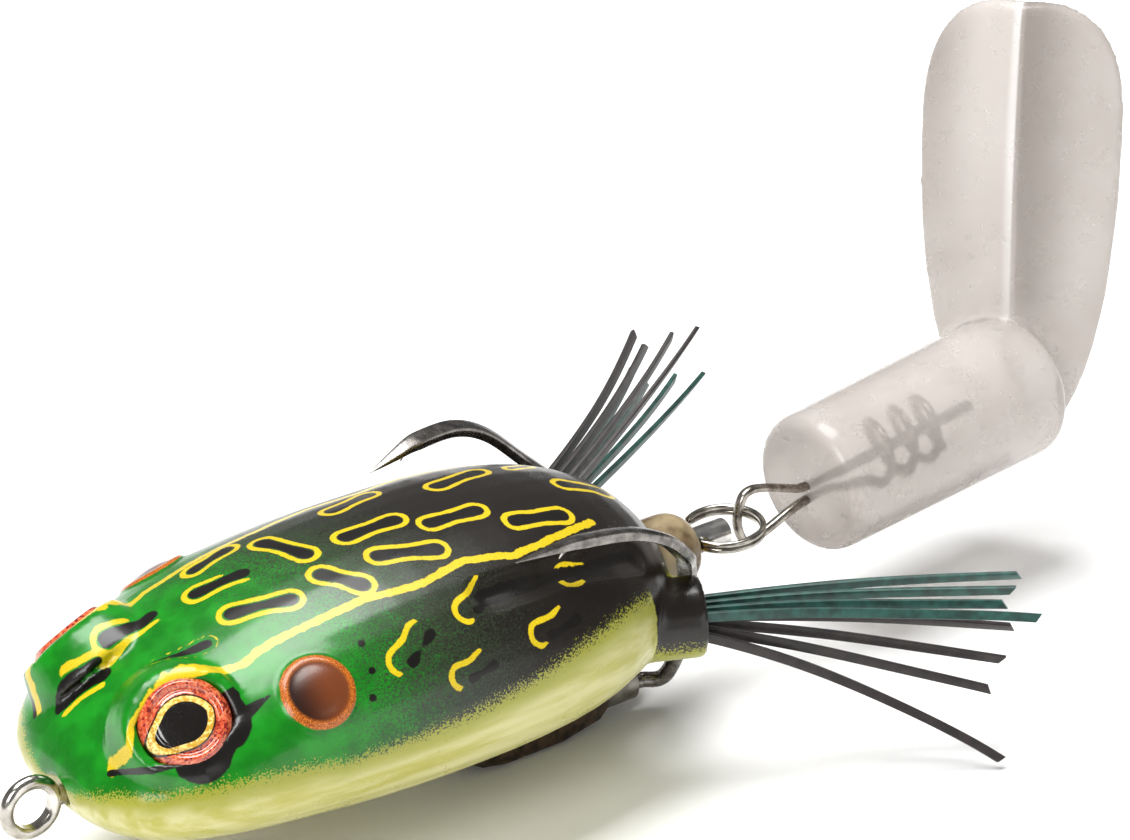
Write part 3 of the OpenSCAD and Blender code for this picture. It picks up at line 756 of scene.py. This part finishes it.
black_nickel = forged_finish()
for node, flip in (("hook_left", 1), ("hook_right", -1)):
    mirror = np.array((1, flip, 1))
    path = curve_through(BEND, 10) * mirror
    bend, length = sweep("forged_" + node, path, forged, side=(0.2, 0, 1))
    tip, back = np.array(BEND[-1]), unit(np.array(BEND[-2]) - np.array(BEND[-1]))
    root = tip + back * 4.4 + np.array((0, 0, -0.15))
    spur = curve_through([root + back * 0.9 + (0, 0, 0.15), root + (0, -0.02, -0.25),
                          root - back * 0.55 + (0, -0.04, -0.85)], 5) * mirror
    barb, _ = sweep("barb_" + node, spur, barb_section, side=(0, 0, 1))
    for piece in (bend, barb):
        if flip < 0:
            piece.data.flip_normals()
        dress(piece, black_nickel)
        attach(piece, "lure")
    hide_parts(node)
    print(node, "is", round(length, 1), "mm of wire")

# %% [markdown]
# ## Keel, line eye and the pieces inside
# The keel is a casting with a dark bronze varnish: its edges are rounded by a bevel,
# and the varnish is blotchy. The line eye, the post and its parts keep their exact shapes
# and only take a metal finish: bright nickel for wire, brass for the bush, and a duller
# silver where the joint was brazed.

# %% Cast the keel and plate the metal
def metal_finish(name, low, high, rough, grain_mm=0.35, stretch=None, dent=0.012):
    metal = Finish(name, rough, 1.0)
    cloud = metal.noise(1.4, 3)
    metal.colour(metal.mix(metal.step(cloud, 0.3, 0.7), hue(low), hue(high)))
    metal.rough(metal.noise(grain_mm, 3, stretch), rough * 0.7, rough * 1.4)
    metal.bump(metal.noise(grain_mm, 3, stretch), dent, 0.4)
    return metal


def rounded_copy(node, name, width_mm):
    piece = copy_of(node, name)
    weld(piece)
    bevel = piece.modifiers.new("rounding", "BEVEL")
    bevel.width, bevel.segments, bevel.limit_method = width_mm * MM, 3, "ANGLE"
    bevel.angle_limit = math.radians(24)
    settle(piece)
    piece.data.shade_smooth()
    piece.data.set_sharp_from_angle(angle=math.radians(50))
    return piece


keel = rounded_copy("belly_weight", "cast_keel", 0.45)
varnish = Finish("bronze varnish", 0.32, 0.85, Coat_Weight=0.5, Coat_Roughness=0.15)
varnish.colour(varnish.mix(varnish.step(varnish.noise(1.1, 3), 0.35, 0.65), hue("2A201A"), hue("5A4536")))
varnish.bump(varnish.noise(0.6, 3), 0.03, 0.5)
dress(keel, varnish)
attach(keel, "lure")
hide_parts("belly_weight")

nickel = metal_finish("bright nickel wire", "9A948C", "D8D4CC", 0.17)
steel_post = metal_finish("drawn steel post", "B4B2AE", "E2E0DC", 0.2, 0.2, (0.2, 1, 1))
brass = metal_finish("brass bush", "A8823A", "D0AC5C", 0.28)
braze = metal_finish("brazed joint", "6E6A62", "96928A", 0.4)
sheet_steel = metal_finish("steel strap", "8C8A86", "B8B6B2", 0.3)
for node, finish in (("hook_shank", nickel), ("swivel_post", steel_post), ("swivel_head", steel_post),
                     ("tail_bushing", brass), ("shank_sleeve", braze), ("swivel_carrier", sheet_steel)):
    dress(nodes[node], finish)
rubber = Finish("black rubber collar", 0.6)
rubber.colour(rubber.mix(rubber.noise(0.8, 3), hue("151413"), hue("242221")))
rubber.bump(rubber.noise(0.3, 2), 0.02, 0.4)
for node in ("skirt_collar_left", "skirt_collar_right"):
    dress(nodes[node], rubber)
print("keel has", len(keel.data.vertices), "points")

# %% [markdown]
# ## Split ring
# A split ring is a flat spring of two turns. The wire steps across once on its way round,
# and its two cut ends lie against that step. Its section is a little flat where the turns
# rub on each other.

# %% Wind the split ring
ring_low, ring_high = span("split_ring")
ring_mid = (ring_low + ring_high) / 2
LIFT = math.radians(3.5)
RING_R, WIRE = 3.425, 0.55
ring_fore = np.array((math.cos(LIFT), 0, math.sin(LIFT)))
ring_left, ring_up = np.array((0, 1, 0)), np.array((-math.sin(LIFT), 0, math.cos(LIFT)))
TURNS = 1.97
ring_path = []
for k in range(150):
    turned = TURNS * k / 149
    angle = 2 * math.pi * (turned + 0.36)
    swap = min(1, max(0, (turned - 0.92) / 0.13))
    height = (swap * swap * (3 - 2 * swap) - 0.5) * 0.97 * WIRE
    ring_path.append(ring_mid + RING_R * (math.cos(angle) * ring_fore + math.sin(angle) * ring_left)
                     + height * ring_up)
ring, length = sweep("split_ring_wire", np.array(ring_path),
                     lambda share: squared_round(WIRE, WIRE * 0.98, 2.3, 16), side=ring_up, sharp=60)
spring = metal_finish("spring nickel", "8A847C", "C9C4BB", 0.2, 0.3, None, 0.015)
dress(ring, spring)
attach(ring, "ring")
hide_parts("split_ring")
print("split ring takes", round(length, 1), "mm of wire")

# %% [markdown]
# ## Tail wire
# One wire makes the loop round the split ring, a core along the stem and the coil that
# screws into the soft tail. It is the same path as the exact wire, swept again with one
# slightly flattened section along its whole length. On the real wire the loop is flattened where pliers
# held it.

# %% Bend the tail wire
YAW = math.radians(4.5)
tail_from = ring_mid
tail_fore = math.cos(YAW) * ring_fore + math.sin(YAW) * ring_left
tail_left = -math.sin(YAW) * ring_fore + math.cos(YAW) * ring_left
tail_up = ring_up


def in_tail(points):
    points = np.asarray(points, float)
    return tail_from + points[:, :1] * tail_fore + points[:, 1:2] * tail_left + points[:, 2:] * tail_up


LOOP_FRONT, STEM_FRONT = 1.15, 10.05
screw_points = [(STEM_FRONT + 20 - 19 * k / 4, 0, 0) for k in range(5)]
loop = [(STEM_FRONT - 1, 0, 0.3), (LOOP_FRONT + 3.7, 0, 2.1), (LOOP_FRONT + 1.9, 0, 2.5),
        (LOOP_FRONT + 0.95, 0, 1.9), (LOOP_FRONT + 0.4, 0, 0), (LOOP_FRONT + 0.95, 0, -1.9),
        (LOOP_FRONT + 1.9, 0, -2.5), (LOOP_FRONT + 3.7, 0, -2.3), (STEM_FRONT - 0.6, 0, -1.3),
        (STEM_FRONT + 4.6, 0, -1.3), (STEM_FRONT + 7, 0, -2.1)]
COIL_R, COIL_PITCH = 2.1, 3
coil = [(STEM_FRONT + 7 + COIL_PITCH * a / 360, -COIL_R * math.sin(math.radians(a)),
         -COIL_R * math.cos(math.radians(a))) for a in range(15, 1081, 15)]
path = in_tail(np.concatenate([np.array(screw_points), curve_through(loop, 8), np.array(coil)]))
wire, length = sweep("tail_wire", path, lambda share: squared_round(0.72, 0.9, 2.6, 16),
                     side=(0, 1, 0), sharp=60)
loop_metal = metal_finish("brown nickel wire", "6B625A", "B9B2A8", 0.24, 0.3, None, 0.02)
dress(wire, loop_metal)
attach(wire, "tail")
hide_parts("tail_screw")
print("tail wire is", round(length, 1), "mm long")

# %% [markdown]
# ## The clear tail
# Stem and paddle are one casting in a milky clear rubber, and the coil is seen inside it.
# The casting is solid round its wire, so the wire's bore is closed with a plug before the
# voxel remesh joins everything. The look is part clear and part milky: a rough transparent
# body with little bending of light, over a pale scattering one.

# %% Cast the tail
tail = copy_of("tail_paddle", "clear_tail")
plug_path = in_tail([(STEM_FRONT + 0.12, 0, 0), (STEM_FRONT + 12, 0, 0), (STEM_FRONT + 23, 0, 0)])
plug, _ = sweep("plug", plug_path, lambda share: squared_round(6.4, 6.4, 2, 24))
tail.data.update()
weld(tail)
for piece in bpy.context.selected_objects:
    piece.select_set(False)
bpy.context.view_layer.objects.active = tail
for piece in (tail, plug):
    piece.select_set(True)
bpy.ops.object.join()
soften(tail, 0.42, 9)
CANT = math.radians(31)
blade_out = math.sin(CANT) * -tail_fore + math.cos(CANT) * tail_left
points = corners(tail) - (tail_from + tail_fore * (STEM_FRONT + 26.4))
height, wide = points @ tail_up, points @ blade_out
half_wide = 9.3 * np.clip(1 - ((height - 21) / 29) ** 2, 0.05, 1) ** 0.45
# The across measure also places the tail's painted ridge highlight and painted leaf shade.
store(tail, "across", np.clip(wide / half_wide, -1, 1))
store(tail, "blade", np.clip((points @ tail_fore + 1.5) / 3, 0, 1) * np.clip((height - 4) / 5, 0, 1))
print("tail has", len(tail.data.vertices), "points")


# %% Mix the clear rubber
def clear_rubber():
    gum = Finish("milky clear rubber", 0.3, Transmission_Weight=0.5, IOR=1.2,
                 Coat_Weight=0.3, Coat_Roughness=0.12)
    body_tone = gum.mix(gum.step(gum.noise(9, 2), 0.3, 0.7), hue("C6BEB8"), hue("D2CBC6"))
    across = gum.read("across")
    # Across the blade: painted shade on the left leaf near the ridge, a thin painted highlight along the
    # ridge, and painted shade greying the right leaf towards its edge.
    painted_leaf_shade = gum.mix(gum.step(across, -0.75, -0.06), body_tone, hue("A39B95"))
    tone = gum.mix(gum.step(across, -0.03, 0.0), painted_leaf_shade, hue("EFEBE8"))
    tone = gum.mix(gum.step(across, 0.03, 0.10), tone, hue("D8D1CC"))
    tone = gum.mix(gum.step(across, 0.35, 1.0), tone, hue("B3ABA5"))
    gum.colour(gum.mix(gum.read("blade"), body_tone, tone))
    gum.rough(gum.noise(1.5, 3), 0.2, 0.32)
    gum.bump(gum.noise(3, 2), 0.02, 0.25)
    return gum


dress(tail, clear_rubber())
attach(tail, "tail")
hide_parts("tail_paddle")
print("tail cast")

# %% [markdown]
# ## Rubber legs
# Each leg is a bundle of flat rubber strands, cut at a slant from a sheet. They fan out and
# sag a little, and no two are alike. A strand is a ribbon swept along an arc with a slow
# twist, and its last section leans over to make the slanted cut.

# %% Cut and fan the strands
SPLAY = math.radians(25)
leg_out = np.array((math.cos(SPLAY), -math.sin(SPLAY), 0))
STRAND_W, STRAND_T, STRAND_LEN = 0.9, 0.5, 29.8
STRANDS, STEPS = 4, 26
MIDDLE = (STRANDS - 1) / 2
TWIST, SLANT = 0.35, 0.7


def turn(points, axis, degrees):
    a = math.radians(degrees)
    c, s = math.cos(a), math.sin(a)
    x, y, z = np.asarray(points, float).T
    return np.stack({"x": (x, c * y - s * z, s * y + c * z), "y": (c * x + s * z, y, -s * x + c * z),
                     "z": (c * x - s * y, s * x + c * y, z)}[axis], -1)


def strand_path(row, lift, fan, droop, i, toe, sag):
    bow = 9 + 2 * i
    reach = STRAND_LEN * (1 - 0.04 * (i % 3))
    r = reach / math.radians(bow)
    phi = np.radians(np.linspace(0, bow, STEPS))
    share = np.linspace(0, 1, STEPS)
    wave = 0.12 * np.sin(np.linspace(0, 5 + i, STEPS)) * share
    points = np.stack([r * np.sin(phi), -(r - r * np.cos(phi)), wave], -1)
    aside = i - MIDDLE
    points[:, 2] -= sag * share ** 2.2
    points = turn(turn(points, "y", -lift + droop * i), "z", -aside * fan + toe)
    points += (0.15, -aside * STRAND_W, row * 0.65)
    return turn(points, "z", -25) + leg + leg_out * 0.55


def ribbon(share, twist):
    a = twist * share
    c, s = math.cos(a), math.sin(a)
    thin = 1 - 0.12 * share
    section = squared_round(STRAND_T * thin, STRAND_W * thin, 7, 16)
    return [(c * x - s * y, s * x + c * y) for x, y in section]


def strand_finish(name, low, high):
    gum = Finish(name, 0.42, Sheen_Weight=0.15)
    gum.colour(gum.mix(gum.step(gum.noise(1.2, 3), 0.3, 0.7), hue(low), hue(high)))
    gum.rough(gum.noise(0.5, 2), 0.32, 0.52)
    gum.bump(gum.noise(0.22, 2), 0.02, 0.4)
    return gum


green_gum = strand_finish("teal rubber", "0F2E29", "1F5248")
black_gum = strand_finish("brown black rubber", "191211", "2C2422")
# Node, side, row in the socket, lift, fan, droop and rubber
LEGS = [("skirt_left_green", 1, 1, 0.5, 1.6, 0.5, green_gum),
        ("skirt_left_black", 1, -1, -7, 2, 4, black_gum),
        ("skirt_right_green", -1, -1, 7, 2, 1, green_gum),
        ("skirt_right_black", -1, 1, 14, 1.6, 1.6, black_gum)]
for node, flip, row, lift, fan, droop, finish in LEGS:
    for i in range(STRANDS):
        toe, sag = (0, 3.4 if row < 0 and i == 3 else 0.3) if flip > 0 else (4, 0)
        path = strand_path(row, lift, fan, droop, i, toe, sag) * np.array((1, flip, 1))
        strand, _ = sweep(f"strand_{node[6:]}_{i + 1}", path,
                          lambda share: ribbon(share, TWIST * (i - MIDDLE)), side=(0, 0, 1), sharp=40)
        points = corners(strand)
        end = points[-16:]
        ahead = unit(path[-1] - path[-2])
        end += ahead * ((end - path[-1]) @ np.array((0, 0, 1)))[:, None] * (SLANT if i % 2 else -SLANT)
        move_corners(strand, points)
        if flip < 0:
            strand.data.flip_normals()
        dress(strand, finish)
        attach(strand, "lure")
        if i == 0:
            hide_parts(node)
print("sixteen strands cut")

# %% [markdown]
# ## The frame's box
# The finished pieces have to stay inside the space of the exact frame. The frame's box is printed.

# %% Print the frame's box
print("frame", [[round(v / MM, 1) for v in c] for c in frame_box])
